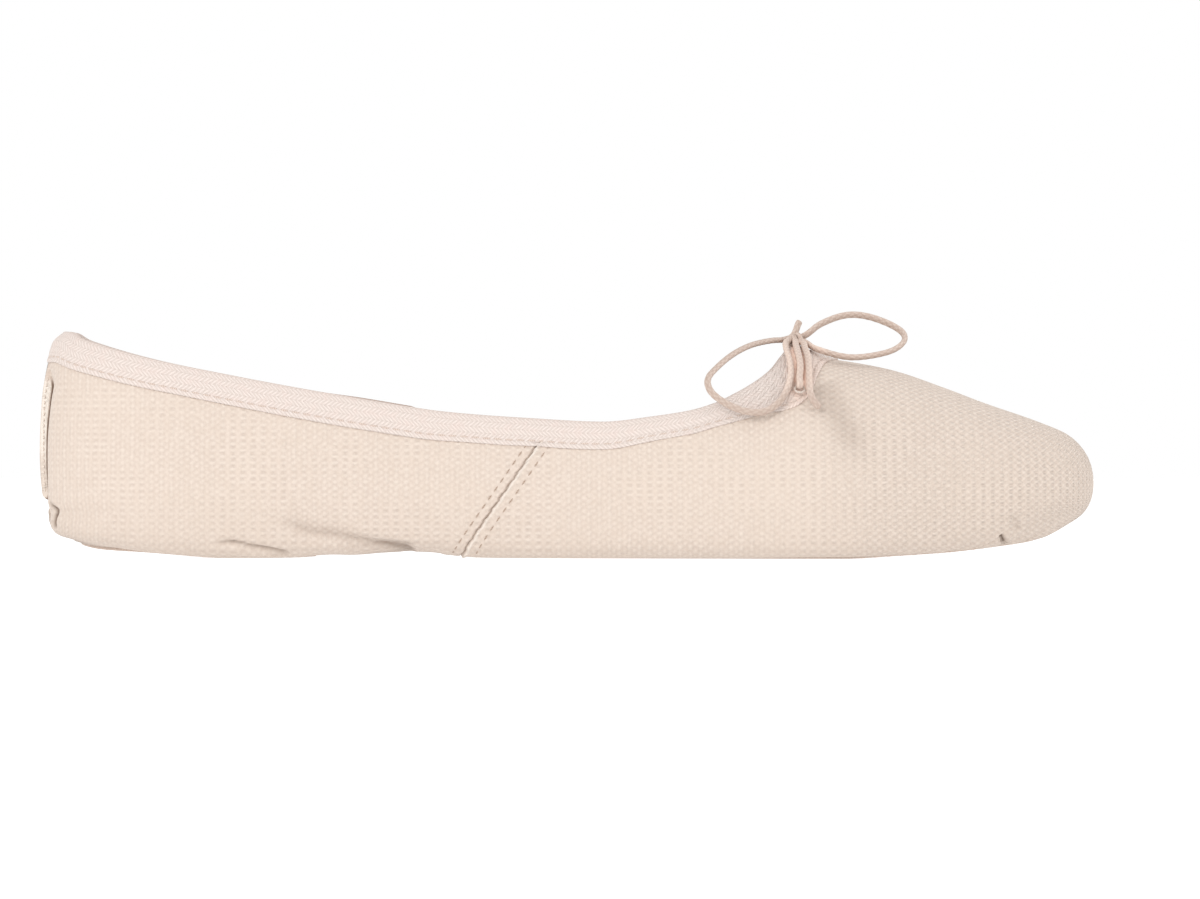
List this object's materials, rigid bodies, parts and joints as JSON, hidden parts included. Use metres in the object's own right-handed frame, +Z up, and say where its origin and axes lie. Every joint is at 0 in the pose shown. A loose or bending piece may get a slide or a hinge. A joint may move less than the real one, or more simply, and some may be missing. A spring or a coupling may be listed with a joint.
{
  "type": "split-sole ballet slipper",
  "caption": "Soft canvas ballet slipper with a split suede sole, a drawstring casing round the collar and a small cord bow at the throat. It stands empty on its sole.",
  "frame": {"origin": "on the floor, under the middle of the shoe's length and width", "axes": "+X from the heel to the toe, +Y to the far side, +Z up from the floor"},
  "size_m": [0.245, 0.078, 0.0573],
  "materials": {
    "canvas": "matte woven cotton",
    "suede": "matte suede",
    "lining": "matte plain-weave cotton",
    "binding": "matte twill tape",
    "cord": "braided cord"
  },
  "bodies": {
    "root": {"upper": "canvas", "forefoot_sole": "suede", "heel_sole": "suede", "insole": "lining", "binding": "binding", "bow_knot": "cord", "bow_lead_near": "cord", "bow_lead_far": "cord", "bow_loop_heel": "cord", "bow_loop_toe": "cord", "bow_end_short": "cord", "bow_end_long": "cord"}
  },
  "joints": []
}
